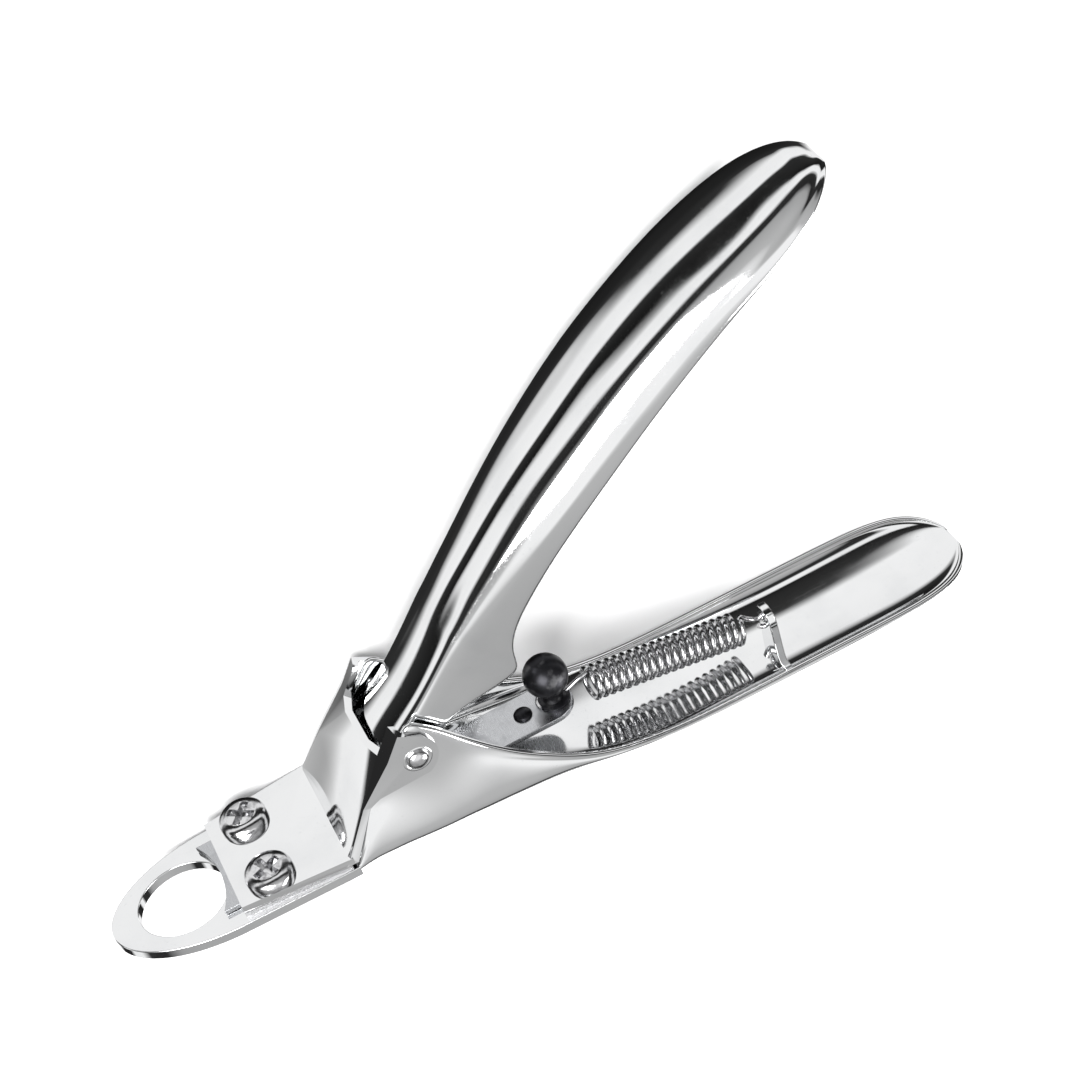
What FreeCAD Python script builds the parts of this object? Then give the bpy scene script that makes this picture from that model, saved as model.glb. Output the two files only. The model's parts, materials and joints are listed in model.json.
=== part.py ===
import FreeCAD, Part
import math
import os
import sys

# Hand clipper of the guillotine kind, pressed and chromed.  Millimetres.
# Tool frame used for modelling: X runs from the pivot towards the handle ends, Z is the
# normal of the cutting plate (its top face is Z 0) and Y runs across the sheet channels.
# The finished clipper lies on its far side, so every piece is turned -90 degrees about X
# and moved until the middle of the footprint is the origin.

SIZES = [
    # pressed sheets
    ("body_sheet", 1.2), ("nose_sheet", 1.6), ("cover_sheet", 1.1), ("hood_sheet", 0.9),
    # cutting nose
    ("nose_reach", 44.9), ("nose_round", 17.0), ("nose_width", 18.2),
    ("hole_middle", 34.8), ("hole_along", 12.4), ("hole_across", 11.4),
    # channel and lower handle
    ("body_width", 19.0), ("neck_width", 14.8), ("channel_start", 12.5),
    ("lower_reach", 82.0), ("lower_droop", 9.6), ("wall_height", 18.0),
    # pivot and upper handle
    ("pivot_height", 11.8), ("open_angle", 36.0), ("upper_reach", 89.5),
    ("upper_width", 19.0), ("lever_width", 11.6), ("boss_radius", 3.4), ("lever_gap", 0.35),
    ("rivet_radius", 1.3), ("rivet_head_radius", 1.9), ("rivet_head_rise", 0.8), ("running_gap", 0.05),
    # cover plate and hood
    ("cover_front", 28.3), ("cover_bend", 13.4), ("cover_front_width", 16.1),
    ("hood_top_x", 5.2), ("hood_rim", 13.6), ("hood_flat", 6.7), ("ear_top", 17.6), ("ear_end", 2.9),
    # blade and what guides it
    ("blade_sheet", 0.8), ("slide_gap", 0.1), ("blade_head_width", 12.4), ("blade_neck_width", 7.0),
    ("blade_head_length", 3.6), ("blade_front", 30.6), ("blade_hollow", 1.6), ("blade_tail", 23.0),
    ("toe_radius", 1.2), ("toe_width", 4.0), ("squeeze", 47.0),
    # screws
    ("screw_x", 23.25), ("screw_offset", 1.8), ("screw_shank", 1.3), ("screw_head_radius", 3.3),
    ("screw_head_height", 1.7), ("recess_span", 3.4), ("recess_width", 0.8), ("recess_depth", 1.0),
    # return spring, its stud and its tab
    ("stud_x", 20.5), ("stud_neck", 1.5), ("stud_neck_height", 2.2), ("stud_ball", 3.1),
    ("tab_x", 51.5), ("tab_width", 4.0), ("tab_height", 5.0), ("tab_hole", 0.8),
    ("coil_outer", 5.0), ("wire", 0.6), ("coil_length", 22.0), ("coil_turns", 18),
    ("stop_rivet_x", 15.8), ("stop_rivet_radius", 1.3), ("stop_rivet_rise", 0.7),
]

doc = FreeCAD.newDocument("clipper")
sheet = doc.addObject("Spreadsheet::Sheet", "Sizes")
for row, (name, value) in enumerate(SIZES, start=1):
    sheet.set(f"A{row}", name)
    sheet.set(f"B{row}", str(value))
    sheet.setAlias(f"B{row}", name)
doc.recompute()

size = {name: float(sheet.get(name)) for name, value in SIZES}
V = FreeCAD.Vector
HALF_SQUEEZE = size["squeeze"] / 2
TOE_ARM = size["pivot_height"]
TOE_REST_X = TOE_ARM * math.sin(math.radians(HALF_SQUEEZE))
STROKE = 2 * TOE_REST_X
BLADE_LOW = size["slide_gap"]
BLADE_TOP = BLADE_LOW + size["blade_sheet"]
GUIDE_TOP = BLADE_TOP + size["slide_gap"]
COVER_TOP = GUIDE_TOP + size["cover_sheet"]
EAR_OUTER = size["neck_width"] / 2 + size["hood_sheet"]
TALL = 40.0
# the screws pass the blade's neck at screw_offset from its edge
SCREW_SIDE = size["blade_neck_width"] / 2 + size["screw_offset"]
LOFT_PARTS = 3


def face_of(points):
    """Flat face from a closed run of points."""
    return Part.Face(Part.makePolygon(points + points[:1]))


def side_prism(edges, half_width):
    """Side outline in X and Z, drawn out across Y."""
    prism = Part.Face(Part.Wire(edges)).extrude(V(0, 2 * half_width, 0))
    prism.translate(V(0, -half_width, 0))
    return prism


def line_run(points):
    """Straight edges through the points."""
    return [Part.LineSegment(a, b).toShape() for a, b in zip(points, points[1:])]


def curve(points):
    """One smooth edge through the points."""
    spline = Part.BSplineCurve()
    spline.interpolate(points)
    return spline.toShape()


def side(x, z):
    return V(x, 0, z)


def trough_section(x, top_half, foot_half, knee, floor, corner, rim):
    """Closed channel section: splayed walls that meet the floor in a chamfered corner."""
    right = [(top_half, rim), (top_half, knee), (foot_half, floor + corner), (foot_half - corner, floor)]
    ring = right + [(-y, z) for y, z in reversed(right)]
    return Part.makePolygon([V(x, y, z) for y, z in ring + ring[:1]])


def eased(stations, parts):
    """Stations with smooth ones put between them, by a curve that passes through each."""
    padded = [stations[0]] + stations + [stations[-1]]
    full = []
    for a, b, c, d in zip(padded, padded[1:], padded[2:], padded[3:]):
        for step in range(parts):
            t = step / parts
            full.append([q + t * ((r - p) / 2 + t * (p - 2.5 * q + 2 * r - s / 2
                         + t * (1.5 * (q - r) + (s - p) / 2))) for p, q, r, s in zip(a, b, c, d)])
    return full + [stations[-1]]


def trough(stations, wall, tall):
    """Sheet channel: an outer loft less the same loft taken in by the sheet."""
    outer = []
    inner = []
    for x, top_half, foot_half, knee, floor, corner in eased(stations, LOFT_PARTS):
        outer.append(trough_section(x, top_half, foot_half, knee, floor, corner, tall))
        inner.append(trough_section(x, top_half - wall, foot_half - wall, knee, floor + wall, corner, tall + 1))
    end = stations[-1][0]
    keep = Part.makeBox(TALL * 4, TALL * 2, TALL * 4, V(end - wall - TALL * 4, -TALL, -TALL * 2))
    return Part.makeLoft(outer, True, True).cut(Part.makeLoft(inner, True, True).common(keep))


def add_shape(label, shape):
    feature = doc.addObject("Part::Feature", label)
    feature.Shape = shape
    feature.Label = label
    return feature


def bound(kind, label, **bindings):
    """Document object whose properties are bound to cells or sums of cells."""
    item = doc.addObject(kind, label)
    item.Label = label
    for prop, formula in bindings.items():
        item.setExpression(prop.replace("__", "."), formula)
    return item


def cell(formula):
    """Write a formula with bare aliases, such as pivot_height / 2, as one on the sheet."""
    words = formula.replace("(", " ( ").replace(")", " ) ").split()
    return " ".join("Sizes." + word if word in size else word for word in words)


def make_lower_handle():
    half = size["body_width"] / 2
    neck = size["neck_width"] / 2
    reach = size["lower_reach"]
    low = -size["lower_droop"]
    stations = [
        (-size["channel_start"], neck, half, 5.0, -size["nose_sheet"], 0.9),
        (0, neck, half, 5.0, -3.0, 1.0),
        (12, neck, half, 4.5, -4.4, 1.4),
        (24, half - 0.6, half, 0.5, -6.1, 2.0),
        (38, half, half - 0.3, -4.0, -8.5, 2.6),
        (58, half, half - 0.4, -5.2, low, 2.8),
        (reach - 11, half, half - 0.5, -5.4, low + 0.3, 2.8),
        (reach - 4, half - 2.3, half - 3.0, -5.8, low + 1.0, 2.3),
        (reach, half - 6.0, half - 6.8, -6.2, low + 2.0, 1.4),
    ]
    channel = trough(stations, size["body_sheet"], TALL)
    ear_peak = side(0.6, size["wall_height"] - 0.6)
    front = [side(-size["channel_start"] - 1, -TALL / 2), side(-size["channel_start"] - 1, -0.4),
             side(-size["channel_start"] + 0.3, 0.5), side(-7.8, 8.0), side(-3.6, 12.5), ear_peak]
    sweep = [ear_peak, side(3.9, 13.8), side(8.4, 7.6), side(15.3, 1.2), side(23.5, -3.8),
             side(36, -6.0), side(58, -6.4), side(reach + 2, -7.2)]
    back = [sweep[-1], side(reach + 2, -TALL / 2), front[0]]
    body = channel.common(side_prism(line_run(front) + [curve(sweep)] + line_run(back), TALL))
    body = body.fuse(nose_plate()).fuse(spring_tab())
    body = body.cut(lance_window())
    body = body.cut(cross_hole(size["rivet_radius"], size["pivot_height"]))
    return add_shape("lower_handle", body)


def nose_plate():
    """Flat nose: half an ellipse in front, straight sides back to the channel."""
    nose_half = size["nose_width"] / 2
    shoulder = -size["nose_reach"] + size["nose_round"]
    thick = V(0, 0, -size["nose_sheet"])
    round_nose = Part.Ellipse(V(shoulder, 0, 0), size["nose_round"], nose_half)
    nose = Part.Face(Part.Wire(round_nose.toShape())).extrude(thick)
    start = -size["channel_start"] + 0.6
    half = size["body_width"] / 2
    rest = face_of([V(shoulder, -nose_half, 0), V(-size["cover_bend"] - 1, -half, 0), V(start, -half, 0),
                    V(start, half, 0), V(-size["cover_bend"] - 1, half, 0), V(shoulder, nose_half, 0)])
    hole = Part.Ellipse(V(-size["hole_middle"], 0, 1), size["hole_along"] / 2, size["hole_across"] / 2)
    hole = Part.Face(Part.Wire(hole.toShape())).extrude(V(0, 0, -TALL / 4))
    plate = nose.fuse(rest.extrude(thick)).cut(hole)
    for y in (-SCREW_SIDE, SCREW_SIDE):
        plate = plate.cut(Part.makeCylinder(size["screw_shank"], TALL / 2, V(-size["screw_x"], y, -TALL / 4)))
    return plate


def tab_floor():
    """Inner floor level of the lower handle where the spring tab stands."""
    return -size["lower_droop"] + size["body_sheet"] + 0.1


def spring_tab():
    """Lanced tab with a rounded head and an eye for the spring."""
    half = size["tab_width"] / 2
    top = tab_floor() + size["tab_height"]
    thick = V(size["body_sheet"], 0, 0)
    x = size["tab_x"]
    post = face_of([V(x, -half, tab_floor() - 0.8), V(x, half, tab_floor() - 0.8),
                    V(x, half, top - half), V(x, -half, top - half)]).extrude(thick)
    head = Part.makeCylinder(half, size["body_sheet"], V(x, 0, top - half), V(1, 0, 0))
    eye = Part.makeCylinder(size["tab_hole"], TALL, V(x - 5, 0, top - half), V(1, 0, 0))
    return post.fuse(head).cut(eye)


def lance_window():
    """Opening that the tab was bent up from, just behind it."""
    x = size["tab_x"] + size["body_sheet"]
    return Part.makeBox(size["tab_height"] - 0.5, size["tab_width"] + 0.6, 6,
                        V(x, -size["tab_width"] / 2 - 0.3, tab_floor() - 4))


def cross_hole(radius, height):
    return Part.makeCylinder(radius, TALL * 2, V(0, -TALL, height), V(0, 1, 0))


def turned_open(shape):
    """Turn a piece drawn along X about the pivot to where it stands when the clipper is open."""
    turned = shape.copy()
    turned.translate(V(0, 0, size["pivot_height"]))
    turned.rotate(V(0, 0, size["pivot_height"]), V(0, 1, 0), -size["open_angle"])
    return turned


def upper_section_stations():
    """Stations of the upper handle upside down, so that its back is the floor of the trough."""
    slim = size["lever_width"] / 2
    half = size["upper_width"] / 2
    reach = size["upper_reach"]
    return [
        (-8, slim, slim, 0.0, -3.0, 0.9),
        (6, slim, slim, 0.0, -4.0, 0.9),
        (22, slim + 1.0, slim + 0.8, 0.0, -7.6, 1.4),
        (38, half - 0.9, half - 1.2, -5.4, -10.1, 2.2),
        (54, half, half - 0.4, -6.0, -10.8, 2.8),
        (70, half, half - 0.4, -5.2, -9.2, 2.8),
        (reach - 10, half - 0.4, half - 1.0, -3.2, -6.6, 2.4),
        (reach - 4, half - 2.6, half - 3.4, -1.6, -4.2, 1.8),
        (reach, half - 6.2, half - 7.0, 0.4, -2.0, 1.2),
    ]


def make_upper_handle():
    trough_down = trough(upper_section_stations(), size["body_sheet"], TALL)
    reach = size["upper_reach"]
    nose = size["boss_radius"]
    heel = [side(nose + 1.6, 2.0), side(15.4, 7.4), side(18.2, 3.4)]
    rim = [heel[-1], side(24, 0.6), side(40, -2.4), side(56, -3.3), side(72, -2.4),
           side(reach - 6, -0.6), side(reach + 2, 1.2)]
    boss = Part.Arc(side(-nose * 0.9, -nose * 0.45), side(-nose * 0.62, nose * 0.78), side(0.6, nose))
    front = [rim[-1], side(reach + 2, -TALL / 2), side(2, -TALL / 2), side(-nose * 0.9, -nose * 0.45)]
    outline = [boss.toShape()] + line_run([side(0.6, nose)] + heel) + [curve(rim)] + line_run(front)
    shell = trough_down.common(side_prism(outline, TALL))
    shell = shell.cut(cross_hole(size["rivet_radius"] + size["running_gap"], 0))
    shell.rotate(V(0, 0, 0), V(1, 0, 0), 180)
    return add_shape("upper_handle", turned_open(shell))


def make_pusher(handle):
    """Thick core brazed between the cheeks under the handle's back, with the toe that drives the blade."""
    core_half = size["lever_width"] / 2 - size["body_sheet"]
    nose = size["boss_radius"] - 0.6
    toe = size["toe_radius"]
    boss = Part.makeCylinder(nose, 2 * core_half, V(0, -core_half, 0), V(0, 1, 0))
    web = Part.makeBox(9.0, 2 * core_half, 5.0, V(0, -core_half, -1.4))
    web.rotate(V(0, 0, 0), V(0, 1, 0), -size["open_angle"] + HALF_SQUEEZE)
    shank = Part.makeBox(2 * toe - 0.4, size["toe_width"], TOE_ARM, V(-toe + 0.2, -size["toe_width"] / 2, -TOE_ARM))
    tip = Part.makeCylinder(toe, size["toe_width"], V(0, -size["toe_width"] / 2, -TOE_ARM), V(0, 1, 0))
    core = boss.fuse(web).fuse(shank).fuse(tip)
    core = core.cut(cross_hole(size["rivet_radius"] + size["running_gap"], 0))
    core.rotate(V(0, 0, 0), V(0, 1, 0), -HALF_SQUEEZE)
    core.translate(V(0, 0, size["pivot_height"]))
    core = core.cut(handle.Shape)
    return add_shape("pusher", max(core.Solids, key=lambda solid: solid.Volume))


def hood_ring(front, flat_half, side_half, height, inset):
    """Plan outline of the hood at one height: a flat front, two swept corners and two sides."""
    cut = 0.3 * (side_half - flat_half)
    tail = size["ear_end"] + 6
    points = [(front + inset, -flat_half + inset * 0.4), (front + cut + inset, -side_half + inset),
              (tail, -side_half + inset), (tail, side_half - inset),
              (front + cut + inset, side_half - inset), (front + inset, flat_half - inset * 0.4)]
    return Part.makePolygon([V(x, y, height) for x, y in points + points[:1]])


def hood_solid(inset):
    wide = size["body_width"] / 2
    slope = (size["cover_bend"] - size["hood_top_x"]) / (size["hood_rim"] - COVER_TOP)
    levels = [(GUIDE_TOP, wide - 0.6, wide), (8.0, EAR_OUTER - 0.6, EAR_OUTER),
              (size["hood_rim"], size["hood_flat"] / 2, EAR_OUTER),
              (size["ear_top"] + 2, size["hood_flat"] / 2, EAR_OUTER)]
    rings = []
    for height, flat_half, side_half in levels:
        front = -size["cover_bend"] + slope * (height - COVER_TOP)
        rings.append(hood_ring(front, flat_half, side_half, height, inset))
    return Part.makeLoft(rings, True, True)


def make_head_cover():
    """Cover plate, bent up into a hood whose two ears carry the pivot rivet."""
    front = -size["cover_front"]
    bend = -size["cover_bend"] + 0.5
    wide = size["body_width"] / 2
    narrow = size["cover_front_width"] / 2
    plate = face_of([V(front, -narrow, GUIDE_TOP), V(front, narrow, GUIDE_TOP), V(bend, wide, GUIDE_TOP),
                     V(bend, -wide, GUIDE_TOP)]).extrude(V(0, 0, size["cover_sheet"]))
    for y in (-SCREW_SIDE, SCREW_SIDE):
        plate = plate.cut(Part.makeCylinder(size["screw_shank"], TALL, V(-size["screw_x"], y, -TALL / 2)))
    shell = hood_solid(0).cut(hood_solid(size["hood_sheet"]))
    pivot = size["pivot_height"]
    end = size["ear_end"]
    ear_round = Part.Arc(side(end * 0.55, pivot + 3.4), side(end, pivot), side(end * 0.3, pivot - 3.2))
    low = [side(end * 0.3, pivot - 3.2), side(-6.4, pivot - 3.4), side(-8.2, 7.6), side(-12.45, GUIDE_TOP),
           side(-size["cover_bend"] - 2, GUIDE_TOP), side(-5.6, size["ear_top"]),
           side(-2.0, size["ear_top"]), side(end * 0.55, pivot + 3.4)]
    shell = shell.common(side_prism([ear_round.toShape()] + line_run(low), TALL))
    mouth_half = size["lever_width"] / 2 + size["lever_gap"]
    mouth = Part.makeBox(TALL, 2 * mouth_half, TALL, V(-TALL / 2, -mouth_half, size["hood_rim"]))
    shell = shell.cut(mouth).cut(cross_hole(size["rivet_radius"], pivot))
    return add_shape("head_cover", plate.fuse(shell).removeSplitter())


def make_guide_rail(side_name, sign):
    """Spacer beside the blade, clamped under the cover by its screw."""
    near = size["blade_neck_width"] / 2 + size["slide_gap"]
    pocket = size["blade_head_width"] / 2 + size["slide_gap"]
    front = -size["cover_front"]
    pocket_end = -size["blade_front"] + size["blade_head_length"] + size["slide_gap"] + 1.2
    outer_front = size["cover_front_width"] / 2
    outer_back = size["body_width"] / 2 - 0.3
    back = -size["cover_bend"]
    ring = [(front, pocket), (pocket_end, pocket), (pocket_end, near), (back, near), (back, outer_back),
            (front, outer_front)]
    rail = face_of([V(x, sign * y, 0) for x, y in ring]).extrude(V(0, 0, GUIDE_TOP))
    hole = Part.makeCylinder(size["screw_shank"], TALL, V(-size["screw_x"], sign * SCREW_SIDE, -1))
    return add_shape(f"guide_rail_{side_name}", rail.cut(hole))


def make_blade():
    """Flat blade: hollow-ground front, narrow neck, window for the toe and a long tail."""
    front = -size["blade_front"]
    head = size["blade_head_width"] / 2
    neck = size["blade_neck_width"] / 2
    step = front + size["blade_head_length"] + 1.2
    tail = size["blade_tail"]
    edge = Part.Arc(V(front, head, BLADE_LOW), V(front + size["blade_hollow"], 0, BLADE_LOW),
                    V(front, -head, BLADE_LOW)).toShape()
    run = [V(front, -head, BLADE_LOW), V(step, -head, BLADE_LOW), V(step, -neck, BLADE_LOW),
           V(tail - neck, -neck, BLADE_LOW)]
    round_tail = Part.Arc(run[-1], V(tail, 0, BLADE_LOW), V(tail - neck, neck, BLADE_LOW)).toShape()
    back = [V(tail - neck, neck, BLADE_LOW), V(step, neck, BLADE_LOW), V(step, head, BLADE_LOW),
            V(front, head, BLADE_LOW)]
    face = Part.Face(Part.Wire([edge] + line_run(run) + [round_tail] + line_run(back)))
    blade = face.extrude(V(0, 0, size["blade_sheet"]))
    slack = size["slide_gap"]
    window = Part.makeBox(2 * (size["toe_radius"] + slack), size["toe_width"] + 2 * slack, TALL,
                          V(TOE_REST_X - size["toe_radius"] - slack, -size["toe_width"] / 2 - slack, -TALL / 2))
    blade = blade.cut(window)
    for x, radius in ((size["stud_x"], size["stud_neck"] * 0.7), (size["stop_rivet_x"], stop_shank())):
        blade = blade.cut(Part.makeCylinder(radius, TALL, V(x, 0, -TALL / 2)))
    return add_shape("blade", blade)


def stop_shank():
    return size["stop_rivet_radius"] * 0.6


def make_cover_screw(side_name, sign):
    """Pan-head cross-recessed screw, bound to the sheet."""
    name = f"cover_screw_{side_name}"
    side = "( blade_neck_width / 2 + screw_offset )"
    at = {"Placement__Base__x": cell("-1 * screw_x"), "Placement__Base__y": cell(f"{sign} * {side}")}
    top = "( slide_gap + blade_sheet + slide_gap + cover_sheet )"
    head = bound("Part::Cylinder", name + "_head", Radius=cell("screw_head_radius"),
                 Height=cell("screw_head_height"), Placement__Base__z=cell(top), **at)
    shank = bound("Part::Cylinder", name + "_shank", Radius=cell("screw_shank"),
                  Height=cell(f"{top} + nose_sheet"), Placement__Base__z=cell("-1 * nose_sheet"), **at)
    body = doc.addObject("Part::Fuse", name + "_body")
    body.Base = head
    body.Tool = shank
    doc.recompute()
    rounded = doc.addObject("Part::Fillet", name + "_rounded")
    rounded.Base = body
    crown = COVER_TOP + size["screw_head_height"]
    rounded.Edges = [(number, 1.1, 1.1) for number, edge in enumerate(body.Shape.Edges, start=1)
                     if abs(edge.BoundBox.ZMin - crown) < 1e-6 and abs(edge.BoundBox.ZMax - crown) < 1e-6]
    cross = doc.addObject("Part::MultiFuse", name + "_cross")
    arms = []
    for turn in (0, 90):
        along, across = ("recess_span", "recess_width") if turn == 0 else ("recess_width", "recess_span")
        arm = bound("Part::Box", f"{name}_arm_{turn}", Length=cell(along), Width=cell(across),
                    Height=cell("recess_depth + 1"))
        arm.setExpression("Placement.Base.x", cell(f"-1 * screw_x - {along} / 2"))
        arm.setExpression("Placement.Base.y", cell(f"{sign} * {side} - {across} / 2"))
        arm.setExpression("Placement.Base.z", cell(f"{top} + screw_head_height - recess_depth"))
        arms.append(arm)
    cross.Shapes = arms
    screw = doc.addObject("Part::Cut", name)
    screw.Base = rounded
    screw.Tool = cross
    screw.Label = name
    return screw


def make_pivot_rivet():
    """Rivet through both ears, both walls and the lever, with a domed head at each end."""
    reach = EAR_OUTER
    pivot = size["pivot_height"]
    shank = Part.makeCylinder(size["rivet_radius"], 2 * reach, V(0, -reach, pivot), V(0, 1, 0))
    rise = size["rivet_head_rise"]
    width = size["rivet_head_radius"]
    ball = (width ** 2 + rise ** 2) / (2 * rise)
    for sign in (-1, 1):
        dome = Part.makeSphere(ball, V(0, sign * (reach + rise - ball), pivot))
        slab = Part.makeBox(TALL, rise + 1, TALL, V(-TALL / 2, reach if sign > 0 else -reach - rise - 1, 0))
        shank = shank.fuse(dome.common(slab))
    return add_shape("pivot_rivet", shank.removeSplitter())


def make_spring_stud():
    """Ball-headed stud riveted into the tail of the blade."""
    x = size["stud_x"]
    neck_top = BLADE_TOP + size["stud_neck_height"]
    ball = size["stud_ball"]
    stub = Part.makeCylinder(size["stud_neck"] * 0.7, size["blade_sheet"], V(x, 0, BLADE_LOW))
    neck = Part.makeCylinder(size["stud_neck"], size["stud_neck_height"] + 1.0, V(x, 0, BLADE_TOP))
    head = Part.makeSphere(ball, V(x, 0, neck_top + ball * 0.85))
    return add_shape("spring_stud", stub.fuse(neck).fuse(head).removeSplitter())


def make_stop_rivet():
    """Small domed rivet in the blade just ahead of the stud."""
    x = size["stop_rivet_x"]
    rise = size["stop_rivet_rise"]
    width = size["stop_rivet_radius"]
    ball = (width ** 2 + rise ** 2) / (2 * rise)
    dome = Part.makeSphere(ball, V(x, 0, BLADE_TOP + rise - ball))
    dome = dome.common(Part.makeBox(TALL, TALL, TALL, V(x - TALL / 2, -TALL / 2, BLADE_TOP)))
    shank = Part.makeCylinder(stop_shank(), size["blade_sheet"], V(x, 0, BLADE_LOW))
    return add_shape("stop_rivet", dome.fuse(shank).removeSplitter())


def make_return_spring():
    """Open coil with a hook round the stud's neck and a hook through the tab's eye."""
    radius = size["wire"] / 2
    coil = (size["coil_outer"] - size["wire"]) / 2
    front = V(size["stud_x"] + size["stud_neck"] + radius + size["running_gap"], 0, BLADE_TOP + size["stud_neck_height"] / 2)
    rear = V(size["tab_x"] - radius, 0, tab_floor() + size["tab_height"] - size["tab_width"] / 2)
    axis = rear.sub(front)
    span = axis.Length
    lead = (span - size["coil_length"]) / 2
    pitch = size["coil_length"] / size["coil_turns"]
    helix = Part.makeHelix(pitch, size["coil_length"], coil)
    ring = Part.Wire(Part.makeCircle(radius, V(coil, 0, 0), V(0, 1, 0)))
    body = Part.Wire(helix).makePipeShell([ring], True, True)
    body.translate(V(0, 0, lead))
    for end, way in ((lead, -1), (span - lead, 1)):
        spoke = Part.makeCylinder(radius, coil, V(0, 0, end), V(1, 0, 0))
        stem = Part.makeCylinder(radius, lead + radius, V(0, 0, end), V(0, 0, way))
        body = body.fuse(spoke).fuse(stem).fuse(Part.makeSphere(radius, V(0, 0, end)))
    body.rotate(V(0, 0, 0), V(0, 1, 0), 90 + math.degrees(math.atan2(-axis.z, axis.x)))
    body.translate(front)
    return add_shape("return_spring", body)


upper_handle = make_upper_handle()
pieces = [
    make_lower_handle(),
    make_head_cover(),
    make_guide_rail("near", -1),
    make_guide_rail("far", 1),
    make_blade(),
    make_spring_stud(),
    make_stop_rivet(),
    make_cover_screw("near", -1),
    make_cover_screw("far", 1),
    upper_handle,
    make_pusher(upper_handle),
    make_pivot_rivet(),
    make_return_spring(),
]
doc.recompute()

failed = [item.Name for item in doc.Objects if "Invalid" in item.State or "Error" in item.State]
failed += [item.Label for item in pieces if item.Shape.isNull() or not item.Shape.isValid()]
if failed:
    sys.exit("failed: " + ", ".join(failed))

# The clipper lies on its far side with the middle of its footprint at the origin.
whole = Part.makeCompound([item.Shape for item in pieces]).optimalBoundingBox()
turn = FreeCAD.Rotation(V(1, 0, 0), -90)
middle = V(-(whole.XMin + whole.XMax) / 2, -(whole.ZMin + whole.ZMax) / 2, whole.YMax)
lay_down = FreeCAD.Placement(middle, turn)

os.makedirs("parts", exist_ok=True)
for item in pieces:
    item.Placement = lay_down.multiply(item.Placement)
doc.recompute()
for item in pieces:
    item.Shape.exportStep(os.path.join("parts", item.Label + ".step"))
    box = item.Shape.optimalBoundingBox()
    print(f"{item.Label}: solids {len(item.Shape.Solids)}, volume {item.Shape.Volume:.1f}, "
          f"size {box.XLength:.1f} x {box.YLength:.1f} x {box.ZLength:.1f}")
pivot = lay_down.multVec(V(0, 0, size["pivot_height"]))
print(f"pivot {pivot.x:.3f} {pivot.y:.3f} {pivot.z:.3f}, stroke {STROKE:.3f}")
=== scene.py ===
"""Looks for a chromed guillotine clipper: pressed handles, cover, blade, screws and spring."""
import json
import math

import bmesh
import bpy
from mathutils import Matrix, Vector


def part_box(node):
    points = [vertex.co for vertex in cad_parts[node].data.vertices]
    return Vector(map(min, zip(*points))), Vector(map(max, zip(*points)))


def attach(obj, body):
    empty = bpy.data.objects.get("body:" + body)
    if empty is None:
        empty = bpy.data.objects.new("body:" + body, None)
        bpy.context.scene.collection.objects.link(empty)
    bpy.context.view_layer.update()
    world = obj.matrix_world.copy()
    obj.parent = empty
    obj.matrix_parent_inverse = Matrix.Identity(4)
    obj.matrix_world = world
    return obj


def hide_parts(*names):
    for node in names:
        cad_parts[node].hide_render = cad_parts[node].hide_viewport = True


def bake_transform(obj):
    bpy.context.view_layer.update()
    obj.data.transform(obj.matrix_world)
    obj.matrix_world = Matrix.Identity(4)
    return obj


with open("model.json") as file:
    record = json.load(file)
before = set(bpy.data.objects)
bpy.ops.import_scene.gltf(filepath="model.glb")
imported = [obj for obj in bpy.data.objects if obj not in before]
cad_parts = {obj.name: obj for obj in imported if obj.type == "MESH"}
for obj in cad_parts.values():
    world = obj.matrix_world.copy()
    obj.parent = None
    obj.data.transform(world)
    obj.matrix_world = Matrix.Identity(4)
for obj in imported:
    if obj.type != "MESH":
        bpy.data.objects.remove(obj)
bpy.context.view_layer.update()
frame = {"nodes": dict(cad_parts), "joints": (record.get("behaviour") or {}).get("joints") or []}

MM = 0.001
PIVOT = Vector(next(joint for joint in frame["joints"] if joint["name"] == "handle_pivot")["pos_m"])
CUT_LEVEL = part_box("guide_rail_near")[0][1]
# The maker's drawing: millimetres, X towards the handle ends, Z square to the cutting plate.
# The clipper lies on its far side, so the drawing is turned a quarter turn about X.
LAY_DOWN = (Matrix.Translation((PIVOT.x, CUT_LEVEL, PIVOT.z)) @ Matrix.Rotation(-math.pi / 2, 4, "X")
            @ Matrix.Scale(MM, 4))
PIVOT_HEIGHT = (PIVOT.y - CUT_LEVEL) / MM
OPEN_ANGLE = math.radians(36)
SHEET = 1.2
EAR_FACE = 8.3
SCREW_SHANK = 1.28
SCREW_HEAD_HEIGHT = 1.7
RIVET_SHANK = 1.3
RIVET_CROWN = 1.45
RIVET_RISE = 0.8
STOP_RADIUS = 1.3
STOP_RISE = 0.7
COIL_RADIUS = 2.2
WIRE_RADIUS = 0.38
COIL_TURNS = 20
HOOK_EYE = 2.3


def drawn(point):
    """A place in the drawing, in the frame's metres."""
    return LAY_DOWN @ Vector(point)


def span(node):
    """Lowest and highest corner of a CAD node in the drawing's millimetres."""
    corners = [LAY_DOWN.inverted() @ Vector(corner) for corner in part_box(node)]
    return ([min(a, b) for a, b in zip(*corners)], [max(a, b) for a, b in zip(*corners)])


# ---------------------------------------------------------------- shader maths


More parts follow.
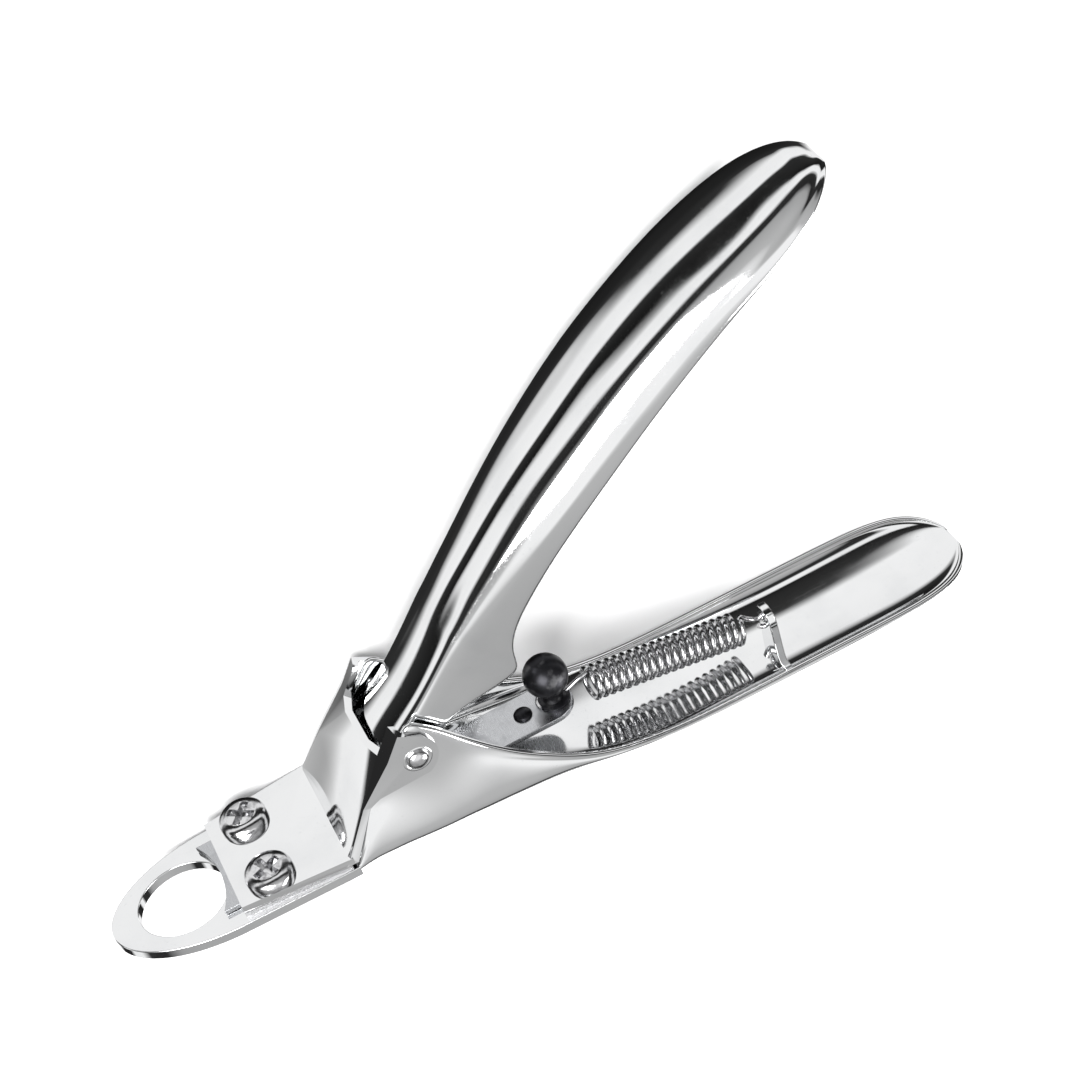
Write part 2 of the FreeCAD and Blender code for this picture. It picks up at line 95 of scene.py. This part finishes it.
class Wire:
    """A node socket that takes part in arithmetic."""

    def __init__(self, maker, socket):
        self.maker = maker
        self.socket = socket

    def _with(self, operation, other):
        return self.maker.node("ShaderNodeMath", {"operation": operation}, {0: self, 1: other})

    def __add__(self, other):
        return self._with("ADD", other)

    def __mul__(self, other):
        return self._with("MULTIPLY", other)

    def __sub__(self, other):
        return self._with("SUBTRACT", other)

    def __rsub__(self, other):
        return self.maker.node("ShaderNodeMath", {"operation": "SUBTRACT"}, {0: other, 1: self})

    __radd__ = __add__
    __rmul__ = __mul__

    def ramp(self, low, high, start=0.0, end=1.0):
        """Smooth step from start to end while this value goes from low to high."""
        return self.maker.node("ShaderNodeMapRange", {"interpolation_type": "SMOOTHSTEP"},
                               {0: self, 1: low, 2: high, 3: start, 4: end})


class NodeMaker:
    """A node tree and one way of adding nodes to it."""

    def __init__(self, tree):
        self.tree = tree

    def node(self, kind, settings, inputs, output=0):
        """Add a node: its settings first, then the values or links of its sockets."""
        made = self.tree.nodes.new(kind)
        for key, value in settings.items():
            if key == "grey_stops":
                self.set_greys(made.color_ramp.elements, value)
            else:
                setattr(made, key, value)
        for key, value in inputs.items():
            if isinstance(value, Wire):
                self.tree.links.new(value.socket, made.inputs[key])
            else:
                made.inputs[key].default_value = value
        return Wire(self, made.outputs[output]) if made.outputs else None

    def set_greys(self, elements, stops):
        """Give a new colour ramp its greys, as pairs of place and grey in rising order."""
        for step, (place, grey) in enumerate(stops):
            stop = elements[step] if step < 2 else elements.new(place)
            stop.position = place
            stop.color = (grey, grey, grey, 1)


class Paint(NodeMaker):
    """A material and its Principled shader."""

    def __init__(self, name):
        self.material = bpy.data.materials.new(name)
        self.material.use_nodes = True
        super().__init__(self.material.node_tree)
        self.shader = self.tree.nodes["Principled BSDF"]
        self.place = self.node("ShaderNodeTexCoord", {}, {}, output="Object")

    def set(self, **values):
        """Give the shader's sockets their values or links."""
        for key, value in values.items():
            socket = self.shader.inputs[key.replace("_", " ")]
            if isinstance(value, Wire):
                self.tree.links.new(value.socket, socket)
            else:
                socket.default_value = value

    def noise(self, size_mm, detail=3.0, stretch=(1, 1, 1), rough=0.5):
        """Noise whose lumps are about size_mm across, longer where stretch is above 1."""
        scale = [1 / (MM * size_mm * s) for s in stretch]
        at = self.node("ShaderNodeMapping", {}, {"Vector": self.place, "Scale": scale})
        return self.node("ShaderNodeTexNoise", {}, {"Vector": at, "Scale": 1.0, "Detail": detail,
                                                    "Roughness": rough}, output="Fac")

    def blend(self, mask, first, second):
        """From the first colour to the second as the mask goes from 0 to 1."""
        return self.node("ShaderNodeMix", {"data_type": "RGBA"}, {0: mask, 6: first + (1,), 7: second + (1,)},
                         output=2)

    def bump(self, height, depth_mm, strength=1.0):
        """Relief from a height that runs from 0 to 1 over depth_mm."""
        self.set(Normal=self.node("ShaderNodeBump", {}, {"Height": height, "Distance": depth_mm * MM,
                                                         "Strength": strength}))


def hairlines(paint, size_mm, stretch):
    """Thin sparse lines, as a cloth leaves on polished metal."""
    return paint.noise(size_mm, 2.0, stretch, 0.6).ramp(0.60, 0.72)


def chrome_plate():
    """Polished plate: faint haze, wiping lines and the slow waviness of pressed sheet."""
    paint = Paint("chrome plate")
    haze = paint.noise(9.0, 4.0).ramp(0.42, 0.75)
    specks = paint.noise(0.5, 2.0).ramp(0.66, 0.74)
    lines = hairlines(paint, 0.22, (26, 1, 1))
    cross_lines = hairlines(paint, 0.25, (1, 22, 3))
    paint.set(Metallic=1.0, Roughness=0.045 + 0.05 * haze + 0.06 * specks + 0.05 * lines + 0.03 * cross_lines,
              Base_Color=paint.blend(haze * 0.5 + specks * 0.3, (0.87, 0.875, 0.88), (0.77, 0.78, 0.79)))
    waves = paint.noise(14.0, 1.0)
    paint.bump(waves * 1.0 - lines * 0.004 - cross_lines * 0.003 - specks * 0.006, 0.10, 0.5)
    return paint.material


def plated_fastener():
    """Brighter, slightly softer plate on turned heads, greyed in places."""
    paint = Paint("plated fastener")
    grime = paint.noise(1.4, 4.0).ramp(0.45, 0.72)
    fine = paint.noise(0.18, 3.0)
    paint.set(Metallic=1.0, Roughness=0.10 + 0.12 * grime + 0.05 * fine,
              Base_Color=paint.blend(grime, (0.74, 0.74, 0.75), (0.33, 0.33, 0.34)))
    paint.bump(fine, 0.01, 0.4)
    return paint.material


def ground_steel(name, bright, dull, stretch):
    """Surface-ground steel with its grinding lines in one direction."""
    paint = Paint(name)
    grind = paint.noise(0.10, 4.0, stretch, 0.65)
    stain = paint.noise(3.5, 4.0).ramp(0.48, 0.74)
    paint.set(Metallic=1.0, Roughness=0.20 + 0.14 * grind + 0.10 * stain,
              Base_Color=paint.blend(stain * 0.7 + grind * 0.3, bright, dull))
    paint.bump(grind, 0.012, 0.5)
    return paint.material


def blackened_steel():
    """Oil-blackened stud, rubbed brighter in patches."""
    paint = Paint("blackened steel")
    rub = paint.noise(1.6, 4.0).ramp(0.50, 0.70)
    grain = paint.noise(0.12, 3.0)
    paint.set(Metallic=0.9, Roughness=0.30 + 0.16 * rub + 0.06 * grain,
              Base_Color=paint.blend(rub, (0.030, 0.030, 0.034), (0.11, 0.11, 0.115)))
    paint.bump(grain, 0.012, 0.5)
    return paint.material


def drawn_wire():
    """Bright drawn spring wire with a grey drag along it."""
    paint = Paint("drawn wire")
    drag = paint.noise(0.35, 3.0).ramp(0.40, 0.70)
    paint.set(Metallic=1.0, Roughness=0.08 + 0.14 * drag,
              Base_Color=paint.blend(drag, (0.66, 0.66, 0.67), (0.34, 0.34, 0.35)))
    paint.bump(drag, 0.008, 0.4)
    return paint.material


def studio_floor():
    paint = Paint("studio floor")
    paint.set(Base_Color=paint.blend(paint.noise(60.0, 2.0), (0.90, 0.90, 0.90), (0.88, 0.88, 0.88)),
              Roughness=0.9)
    return paint.material


CHROME = chrome_plate()
FASTENER = plated_fastener()
GUIDE = ground_steel("guide steel", (0.72, 0.72, 0.73), (0.52, 0.52, 0.53), (18, 1, 1))
BLADE = ground_steel("blade steel", (0.66, 0.67, 0.69), (0.44, 0.45, 0.47), (1, 18, 18))
DARK = blackened_steel()
WIRE = drawn_wire()


# ---------------------------------------------------------------- building helpers


def finished(name, bm, material, body, *nodes, slot=None, lay=LAY_DOWN, smooth_angle=35):
    """Make the bmesh a piece in the frame that rides on its body and stands for its nodes."""
    bmesh.ops.transform(bm, matrix=lay, verts=bm.verts)
    mesh = bpy.data.meshes.new(name)
    bm.to_mesh(mesh)
    bm.free()
    mesh.materials.append(material)
    mesh.shade_smooth()
    mesh.set_sharp_from_angle(angle=math.radians(smooth_angle))
    piece = bpy.data.objects.new(name, mesh)
    bpy.context.collection.objects.link(piece)
    if body:
        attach(piece, body)
    if nodes:
        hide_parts(*nodes)
    return piece


def round_edges(piece, width_mm, segments=3, angle=40):
    bevel = piece.modifiers.new("round_edges", "BEVEL")
    bevel.width = width_mm * MM
    bevel.segments = segments
    bevel.limit_method = "ANGLE"
    bevel.angle_limit = math.radians(angle)
    bevel.harden_normals = True
    return piece


def merged_copy(node, keep=None):
    """Welded copy of a CAD node with its flat faces whole again, cut at a plane if one is given."""
    bm = bmesh.new()
    bm.from_mesh(frame["nodes"][node].data)
    bmesh.ops.remove_doubles(bm, verts=bm.verts, dist=1e-6)
    if keep:
        place, facing = keep
        bmesh.ops.bisect_plane(bm, geom=bm.verts[:] + bm.edges[:] + bm.faces[:], dist=1e-7,
                               plane_co=place, plane_no=facing, clear_outer=True)
        bmesh.ops.holes_fill(bm, edges=[edge for edge in bm.edges if edge.is_boundary])
    bmesh.ops.dissolve_limit(bm, angle_limit=math.radians(1.0), verts=bm.verts, edges=bm.edges)
    return bm


def softened(node, material, body, width_mm, slot):
    """The CAD shape with its sharp edges broken."""
    piece = finished(node + "_body", merged_copy(node), material, body, node, slot=slot,
                     lay=Matrix.Identity(4))
    return round_edges(piece, width_mm)


def loop_of(bm, points, closed):
    """Edges through the points in turn, back to the first where closed."""
    verts = [bm.verts.new(point) for point in points]
    pairs = list(zip(verts, verts[1:])) + ([(verts[-1], verts[0])] if closed else [])
    return [bm.edges.new(pair) for pair in pairs]


def skin(bm, loops, closed=True):
    """Bridge a run of loops, each to the next, and give back their edges."""
    runs = [loop_of(bm, points, closed) for points in loops]
    for first, second in zip(runs, runs[1:]):
        bmesh.ops.bridge_loops(bm, edges=first + second)
    return runs


def circle(radius, height, count=32):
    """Points round the Z axis at one height."""
    turns = [2 * math.pi * step / count for step in range(count)]
    return [(radius * math.cos(turn), radius * math.sin(turn), height) for turn in turns]


def cap(bm, run):
    """Close a loop of edges with one face."""
    bmesh.ops.contextual_create(bm, geom=run)


def between(table, x):
    """Straight-line reading of a short table of (x, value) pairs."""
    for (x0, a), (x1, b) in zip(table, table[1:]):
        if x <= x1:
            t = max(0.0, (x - x0) / (x1 - x0))
            return a + (b - a) * t
    return table[-1][1]


# ---------------------------------------------------------------- pressed handles


def half_run(top_half, foot_half, knee, floor, corner, rim, inwards):
    """Right half of a channel's section, from its rim down the wall and across the crowned floor."""
    depth = rim - floor
    lip = min(0.3, 0.3 * depth)
    crown = min(0.9, 0.14 * depth)
    rise = min(corner, 0.5 * depth)
    reach = min(2.0 * corner, 0.55 * foot_half)
    turn = floor + crown + rise
    wall = rim - lip - turn
    knee = min(max(knee, turn + 0.15 * wall), rim - lip - 0.2 * wall)
    lean = foot_half - top_half
    return [(top_half + inwards * lip, rim), (top_half, rim - lip),
            (top_half + lean * 0.15, (rim - lip + knee) / 2), (top_half + lean * 0.45, knee),
            (foot_half, turn), (foot_half - reach * 0.27, floor + crown + rise * 0.27),
            (foot_half - reach, floor + crown * 0.7), (foot_half * 0.25, floor + crown * 0.06)]


def trough_section(x, top_half, foot_half, knee, floor, corner, rim):
    """Closed section of a pressed channel: round the outside, then back along the inside."""
    sheet = min(SHEET, 0.4 * top_half)
    outside = half_run(top_half, foot_half, knee, floor, corner, rim, -1)
    inner_floor = min(floor + SHEET, rim - 0.08 * (rim - floor))
    inside = half_run(top_half - sheet, foot_half - sheet, knee, inner_floor, corner, rim, 1)
    right_first = outside + [(-y, z) for y, z in reversed(outside)]
    left_first = [(-y, z) for y, z in inside] + inside[::-1]
    return [(x, y, z) for y, z in right_first + left_first]


def pressed_channel(name, rim, stations, body, node, lay):
    """Sheet channel swept through its stations, closed at both ends and rounded by subdivision.

    A station is its place along the sheet, half the width at the rim and at the foot, the levels
    of the knee and the floor, and the floor's corner; rim is the rim's level along the sheet.
    """
    bm = bmesh.new()
    runs = skin(bm, [trough_section(*station, between(rim, station[0])) for station in stations])
    for run in (runs[0], runs[-1]):
        half = len(run) // 2
        bmesh.ops.bridge_loops(bm, edges=run[:half - 1] + run[half:-1])
    bmesh.ops.recalc_face_normals(bm, faces=bm.faces)
    piece = finished(name, bm, CHROME, body, node, slot="chromed_sheet", lay=lay, smooth_angle=180)
    smooth = piece.modifiers.new("smooth_sheet", "SUBSURF")
    smooth.levels = 3
    smooth.render_levels = 3
    return piece


def lower_channel():
    """Body walls with their sloping shoulders, then the shallow handle and its spoon end."""
    rim = [(-13.4, -0.3), (-12.2, 0.6), (-7.8, 8.0), (-3.6, 12.5), (0.6, 17.3), (3.9, 13.8), (8.4, 7.6),
           (11.7, 4.0), (15.3, 1.2), (19.2, -1.5), (23.5, -3.8), (29.0, -5.2), (36.0, -6.0), (58.0, -6.4),
           (76.0, -6.8), (82.0, -7.2)]
    stations = [
        (-13.4, 9.2, 9.45, 0.0, -1.6, 0.9), (-12.2, 9.1, 9.45, 0.2, -1.65, 0.9),
        (-10.0, 8.5, 9.45, 3.0, -1.85, 0.9), (-7.8, 7.7, 9.45, 5.0, -2.1, 0.9),
        (-5.7, 7.5, 9.45, 5.0, -2.3, 1.0), (-3.6, 7.4, 9.45, 5.0, -2.6, 1.0),
        (-1.0, 7.4, 9.45, 5.0, -2.9, 1.0), (0.6, 7.4, 9.45, 5.0, -3.05, 1.0),
        (2.2, 7.4, 9.45, 5.0, -3.25, 1.1), (3.9, 7.4, 9.45, 5.0, -3.45, 1.2),
        (6.1, 7.5, 9.45, 5.0, -3.7, 1.2), (8.4, 7.6, 9.45, 4.8, -3.95, 1.3),
        (11.7, 8.0, 9.45, 3.0, -4.35, 1.4), (15.3, 8.5, 9.45, 0.6, -4.8, 1.6),
        (19.2, 8.9, 9.45, -1.8, -5.35, 1.8), (23.5, 9.2, 9.4, -4.0, -6.1, 2.0),
        (29.0, 9.4, 9.3, -4.8, -7.1, 2.3), (36.0, 9.5, 9.2, -5.6, -8.3, 2.6),
        (46.0, 9.5, 9.15, -5.9, -9.2, 2.8), (58.0, 9.5, 9.1, -6.0, -9.6, 2.8),
        (68.0, 9.5, 9.0, -6.2, -9.5, 2.8), (73.5, 9.2, 8.6, -6.4, -9.3, 2.6),
        (77.6, 8.1, 7.4, -6.6, -9.0, 2.3), (80.3, 5.9, 5.2, -6.8, -8.6, 1.8),
        (81.5, 3.8, 3.3, -6.9, -7.9, 0.9), (82.0, 2.2, 1.9, -7.0, -7.5, 0.4)]
    return pressed_channel("lower_channel", rim, stations, "frame", "lower_handle", LAY_DOWN)


def upper_channel():
    """Lever sheet: narrow cheeks at the pivot, a heel behind it, then the wide curved grip."""
    lay = (LAY_DOWN @ Matrix.Translation((0, 0, PIVOT_HEIGHT)) @ Matrix.Rotation(-OPEN_ANGLE, 4, "Y")
           @ Matrix.Rotation(math.pi, 4, "X"))
    rim = [(-3.3, -1.2), (-2.4, 2.2), (0.6, 3.4), (5.0, 2.4), (15.0, 7.2), (16.4, 5.9), (18.2, 3.4),
           (21.0, 1.7), (24.0, 0.6), (31.0, -1.1), (40.0, -2.4), (56.0, -3.3), (72.0, -2.4),
           (83.5, -0.6), (87.0, 0.0), (89.5, 0.6)]
    stations = [
        (-3.3, 5.8, 5.8, 0.0, -3.2, 0.9), (-2.4, 5.8, 5.8, 0.0, -3.3, 0.9),
        (0.6, 5.8, 5.8, 0.0, -3.5, 0.9), (5.0, 5.8, 5.8, 0.0, -3.9, 0.9),
        (10.0, 5.9, 5.9, 0.0, -4.9, 1.0), (15.0, 6.3, 6.2, 0.0, -6.2, 1.4),
        (16.4, 6.4, 6.3, -0.4, -6.5, 1.6), (18.2, 6.6, 6.5, -1.0, -6.9, 1.9),
        (21.0, 6.9, 6.7, -2.0, -7.5, 2.3), (24.0, 7.2, 7.0, -3.0, -8.0, 2.7),
        (31.0, 8.0, 7.7, -4.4, -9.2, 3.4), (38.0, 8.7, 8.4, -5.4, -10.1, 4.0),
        (46.0, 9.2, 8.9, -5.9, -10.6, 4.4), (54.0, 9.5, 9.1, -6.0, -10.8, 4.6),
        (62.0, 9.5, 9.1, -5.7, -10.2, 4.6), (70.0, 9.5, 9.1, -5.2, -9.2, 4.4),
        (78.0, 9.3, 8.6, -3.8, -7.3, 4.0), (83.5, 8.2, 7.3, -2.4, -5.4, 3.2),
        (87.0, 6.0, 5.2, -1.2, -3.8, 2.2), (88.8, 3.9, 3.4, -0.4, -2.1, 1.2),
        (89.5, 2.3, 1.9, 0.4, -0.6, 0.5)]
    return pressed_channel("upper_channel", rim, stations, "lever", "upper_handle", lay)


def nose_plate():
    """Flat nose with the oval hole and the screw holes, its edges drawn over."""
    seam = drawn((-12.6, 0, 0))
    bm = merged_copy("lower_handle", keep=(seam, (1, 0, 0)))
    piece = finished("nose_plate", bm, CHROME, "frame", slot="chromed_sheet", lay=Matrix.Identity(4))
    return round_edges(piece, 0.30, 3, 45)


def spring_tab():
    """Tab bent up out of the handle's floor, with an eye for the spring's hook."""
    low, high = span("return_spring")
    x = high[0] + 0.3
    width = 2.0
    eye_level = low[2] + 2.3
    foot = -8.6
    bm = bmesh.new()
    run = loop_of(bm, [(x, -width, foot), (x, width, foot), (x, width, eye_level + 0.3),
                       (x, width * 0.7, eye_level + 1.6), (x, 0, eye_level + 2.0),
                       (x, -width * 0.7, eye_level + 1.6), (x, -width, eye_level + 0.3)], True)
    eye = loop_of(bm, [(x, y, eye_level + z) for y, z, _ in circle(0.8, 0, 12)], True)
    bmesh.ops.triangle_fill(bm, edges=run + eye, use_beauty=True)
    bmesh.ops.solidify(bm, geom=bm.faces[:], thickness=-SHEET)
    bmesh.ops.recalc_face_normals(bm, faces=bm.faces)
    return round_edges(finished("spring_tab", bm, CHROME, "frame", slot="chromed_sheet"), 0.2)


# ---------------------------------------------------------------- fasteners and stud


def cross_recess(arm, half, height):
    """Outline of a cross: four arms, square shoulders between them."""
    corner = [(arm, -half), (arm, half), (half, half)]
    points = []
    for quarter in range(4):
        c, s = ((1, 0), (0, 1), (-1, 0), (0, -1))[quarter]
        points += [(c * x - s * y, s * x + c * y, height) for x, y in corner]
    return points


def cover_screw(side_name, turn):
    """Pan head with a tapered cross recess, on its shank."""
    node = f"cover_screw_{side_name}"
    low, high = span(node)
    bm = bmesh.new()
    rim = (high[0] - low[0]) / 2
    height = SCREW_HEAD_HEIGHT
    runs = skin(bm, [circle(SCREW_SHANK, low[2] - high[2] + 0.15), circle(SCREW_SHANK, -height),
                     circle(rim, -height), circle(rim, -height * 0.62), circle(rim * 0.965, -height * 0.38),
                     circle(rim * 0.86, -height * 0.16), circle(rim * 0.68, -height * 0.03),
                     circle(rim * 0.60, 0.0), cross_recess(1.85, 0.52, -0.02),
                     cross_recess(1.75, 0.46, -0.55), cross_recess(1.05, 0.36, -1.15)])
    cap(bm, runs[0])
    cap(bm, runs[-1])
    bmesh.ops.recalc_face_normals(bm, faces=bm.faces)
    place = Matrix.Translation(((low[0] + high[0]) / 2, (low[1] + high[1]) / 2, high[2]))
    lay = LAY_DOWN @ place @ Matrix.Rotation(math.radians(turn), 4, "Z")
    piece = finished(node + "_head", bm, FASTENER, "frame", node, slot="screw_plating", lay=lay)
    return round_edges(piece, 0.07, 2, 30)


def dome_run(radius, rise, foot, steps=6):
    """Loops of a low domed head, from its foot to near its crown."""
    loops = [circle(radius, foot), circle(radius, rise * 0.25)]
    for step in range(1, steps):
        turn = math.pi / 2 * step / steps
        loops.append(circle(radius * math.cos(turn) * 0.98, rise * (0.25 + 0.75 * math.sin(turn))))
    return loops


def pivot_rivet():
    """Headed at both ends; each crown has the small flat that the riveting set leaves."""
    reach = span("pivot_rivet")[1][1]
    bm = bmesh.new()
    for sign in (1, -1):
        part = bmesh.new()
        runs = skin(part, dome_run(RIVET_CROWN, RIVET_RISE, -0.1))
        cap(part, runs[-1])
        bmesh.ops.recalc_face_normals(part, faces=part.faces)
        place = Matrix.Translation((0, sign * (reach - RIVET_RISE), PIVOT_HEIGHT))
        bmesh.ops.transform(part, verts=part.verts,
                            matrix=place @ Matrix.Rotation(-sign * math.pi / 2, 4, "X"))
        scrap = bpy.data.meshes.new("rivet_end")
        part.to_mesh(scrap)
        part.free()
        bm.from_mesh(scrap)
        bpy.data.meshes.remove(scrap)
    across = Matrix.Translation((0, 0, PIVOT_HEIGHT)) @ Matrix.Rotation(math.pi / 2, 4, "X")
    bmesh.ops.create_cone(bm, cap_ends=True, segments=32, radius1=RIVET_SHANK, radius2=RIVET_SHANK,
                          depth=2 * reach - 1.4, matrix=across)
    return finished("pivot_rivet_set", bm, FASTENER, "frame", "pivot_rivet", slot="screw_plating")


def ear_dimples():
    """Shallow pressed rings round the rivet on both ears."""
    bm = bmesh.new()
    for sign in (1, -1):
        loops = [[(x, sign * (EAR_FACE + out), PIVOT_HEIGHT + z) for x, z, _ in circle(radius, 0)]
                 for radius, out in ((2.05, -0.04), (1.95, 0.04), (1.8, 0.06), (1.6, 0.02), (1.4, -0.1))]
        skin(bm, loops)
    bmesh.ops.recalc_face_normals(bm, faces=bm.faces)
    return finished("ear_dimples", bm, CHROME, "frame", slot="chromed_sheet", smooth_angle=70)


def spring_stud():
    """Ball head with a turned flat, a waisted neck and a collar on the blade."""
    low, high = span("spring_stud")
    centre = (low[0] + high[0]) / 2
    ball = (high[0] - low[0]) / 2
    middle = high[2] - ball
    bm = bmesh.new()
    loops = [circle(2.3, 0.9), circle(2.3, 1.25), circle(2.1, 1.4), circle(1.45, 1.45), circle(1.35, 2.0)]
    for step in range(1, 13):
        turn = -math.pi / 2 + math.pi * (0.5 + step) / 13.4
        if ball * math.cos(turn) > 1.4 or turn > 0:
            loops.append(circle(ball * math.cos(turn), middle + ball * math.sin(turn)))
    runs = skin(bm, loops)
    cap(bm, runs[0])
    cap(bm, runs[-1])
    bmesh.ops.recalc_face_normals(bm, faces=bm.faces)
    lay = LAY_DOWN @ Matrix.Translation((centre, 0, 0))
    return finished("spring_stud_ball", bm, DARK, "blade", "spring_stud", slot="dark_steel", lay=lay)


def stop_rivet():
    """Low domed head of the rivet that stops the blade's travel."""
    low, high = span("stop_rivet")
    bm = bmesh.new()
    runs = skin(bm, dome_run(STOP_RADIUS, STOP_RISE, -0.05))
    cap(bm, runs[-1])
    bmesh.ops.recalc_face_normals(bm, faces=bm.faces)
    lay = LAY_DOWN @ Matrix.Translation(((low[0] + high[0]) / 2, 0, high[2] - STOP_RISE))
    return finished("stop_rivet_head", bm, DARK, "blade", "stop_rivet", slot="dark_steel", lay=lay)


# ---------------------------------------------------------------- return spring


def return_spring():
    """Open coil whose ends turn into hooks, one round the stud's neck and one in the tab's eye."""
    low, high = span("return_spring")
    rear = Vector((high[0], 0, low[2] + HOOK_EYE))
    front = Vector((low[0], 0, high[2] - HOOK_EYE))
    axis = (rear - front).normalized()
    side_way = Vector((0, 1, 0))
    lift = side_way.cross(axis).normalized()
    length = (rear - front).length
    lead = 3.6
    steps = 16
    points = []
    for step in range(11):
        turn = math.radians(200 - 20 * step)
        points.append(Vector((low[0] - 1.8, 0, front.z))
                      + Vector((1.95 * math.cos(turn), 1.95 * math.sin(turn), 0)))
    points.append(front + axis * (lead * 0.6) - lift * (COIL_RADIUS * 0.75))
    for step in range(COIL_TURNS * steps + 1):
        turn = 2 * math.pi * step / steps
        along = lead + (length - 2 * lead) * step / (COIL_TURNS * steps)
        points.append(front + axis * along
                      + COIL_RADIUS * (math.sin(turn) * side_way - math.cos(turn) * lift))
    points.append(rear - axis * (lead * 0.65) - lift * (COIL_RADIUS * 0.5))
    for step in range(9):
        turn = math.radians(-160 + 38 * step)
        points.append(rear + axis * (0.5 + 1.15 * math.cos(turn)) + lift * (0.2 + 1.25 * math.sin(turn)))
    line = bpy.data.curves.new("spring_line", "CURVE")
    line.dimensions = "3D"
    line.bevel_depth = WIRE_RADIUS * MM
    line.bevel_resolution = 2
    line.resolution_u = 2
    line.use_fill_caps = True
    spline = line.splines.new("NURBS")
    spline.points.add(len(points) - 1)
    for node, point in zip(spline.points, points):
        node.co = (*drawn(point), 1)
    spline.order_u = 3
    spline.use_endpoint_u = True
    guide = bpy.data.objects.new("spring_line", line)
    mesh = bpy.data.meshes.new_from_object(guide)
    bpy.data.objects.remove(guide)
    bm = bmesh.new()
    bm.from_mesh(mesh)
    bpy.data.meshes.remove(mesh)
    piece = finished("return_spring_coil", bm, WIRE, None, "return_spring", slot="spring_wire",
                     lay=Matrix.Identity(4), smooth_angle=60)
    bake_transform(piece)
    return piece


# ---------------------------------------------------------------- the clipper

lower_channel()
nose_plate()
spring_tab()
upper_channel()
softened("head_cover", CHROME, "frame", 0.28, "chromed_sheet")
softened("blade", BLADE, "blade", 0.08, "blade_steel")
softened("pusher", GUIDE, "lever", 0.18, "guide_steel")
for rail in ("near", "far"):
    softened(f"guide_rail_{rail}", GUIDE, "frame", 0.08, "guide_steel")
cover_screw("near", 24)
cover_screw("far", 52)
pivot_rivet()
ear_dimples()
spring_stud()
stop_rivet()
return_spring()


# ---------------------------------------------------------------- studio


def soft_light(name, place, aim, size, power):
    light = bpy.data.lights.new(name, "AREA")
    light.shape = "RECTANGLE"
    light.size, light.size_y = size
    light.energy = power
    lamp = bpy.data.objects.new(name, light)
    lamp.matrix_world = Matrix.Translation(place) @ (Vector(place) - Vector(aim)).to_track_quat(
        "Z", "Y").to_matrix().to_4x4()
    bpy.context.collection.objects.link(lamp)


# From straight below to straight above: dark gaps and bright panels, each a place and a grey.
STUDIO_BANDS = ((0.0, 0.01), (0.08, 0.03), (0.12, 0.95), (0.205, 1.0), (0.235, 0.03), (0.37, 0.01),
                (0.41, 0.95), (0.50, 1.0), (0.55, 0.03), (0.67, 0.02), (0.74, 0.38), (0.90, 0.52),
                (0.95, 1.0), (1.0, 1.0))


def studio():
    """Pale floor, which polished metal doesn't mirror, with two soft lamps over it."""
    bm = bmesh.new()
    bmesh.ops.create_grid(bm, x_segments=1, y_segments=1, size=3.0)
    mesh = bpy.data.meshes.new("floor")
    bm.to_mesh(mesh)
    bm.free()
    mesh.materials.append(studio_floor())
    floor = bpy.data.objects.new("floor", mesh)
    bpy.context.collection.objects.link(floor)
    floor.visible_glossy = False
    studio_air()
    soft_light("key", (-0.35, 0.25, 0.55), (0, 0, 0), (0.5, 0.5), 6.0)
    soft_light("fill", (0.45, -0.35, 0.45), (0, 0, 0), (0.4, 0.4), 3.0)


def studio_air():
    """Even white light for matt things; bright panels and dark gaps for polished ones."""
    world = bpy.data.worlds.new("studio")
    world.use_nodes = True
    air = NodeMaker(world.node_tree)
    air.tree.nodes.clear()
    way = air.node("ShaderNodeTexCoord", {}, {}, output="Generated")
    height = air.node("ShaderNodeSeparateXYZ", {}, {0: way}, output="Z")
    ripple = air.node("ShaderNodeTexNoise", {}, {"Vector": way, "Scale": 1.7, "Detail": 1.0}, output="Fac")
    bands = air.node("ShaderNodeValToRGB", {"grey_stops": STUDIO_BANDS},
                     {0: (ripple * 0.32 + height) * 0.5 + 0.42}, output="Color")
    even = air.node("ShaderNodeBackground", {}, {"Color": (1, 1, 1, 1), "Strength": 1.0})
    banded = air.node("ShaderNodeBackground", {}, {"Color": bands, "Strength": 1.0})
    polished = air.node("ShaderNodeLightPath", {}, {}, output="Is Glossy Ray")
    mixed = air.node("ShaderNodeMixShader", {}, {0: polished, 1: even, 2: banded})
    air.node("ShaderNodeOutputWorld", {}, {"Surface": mixed})
    bpy.context.scene.world = world
    bpy.context.scene.view_settings.view_transform = "Standard"


def camera():
    """View along the nose from above, rolled so that the handles run up and to the right."""
    azimuth, elevation, roll = math.radians(-12.32), math.radians(44.9), math.radians(-18.64)
    aim = Vector((30, 0, 15))
    distance = 291.84
    back = Vector((math.sin(azimuth) * math.cos(elevation), -math.cos(azimuth) * math.cos(elevation),
                   math.sin(elevation)))
    level = Vector((math.cos(azimuth), math.sin(azimuth), 0))
    rise = back.cross(level)
    right = math.cos(roll) * level + math.sin(roll) * rise
    up = math.cos(roll) * rise - math.sin(roll) * level
    turn = Matrix((right, up, back)).transposed().to_4x4()
    lens = bpy.data.cameras.new("camera")
    lens.lens = 74.63
    lens.sensor_width = 36.0
    lens.shift_x = -0.0483
    lens.shift_y = 0.0519
    lens.clip_start = 0.01
    eye = bpy.data.objects.new("camera", lens)
    eye.matrix_world = (Matrix.Translation(drawn(aim + back * distance))
                        @ Matrix.Rotation(-math.pi / 2, 4, "X") @ turn)
    bpy.context.collection.objects.link(eye)
    bpy.context.scene.camera = eye


studio()
camera()
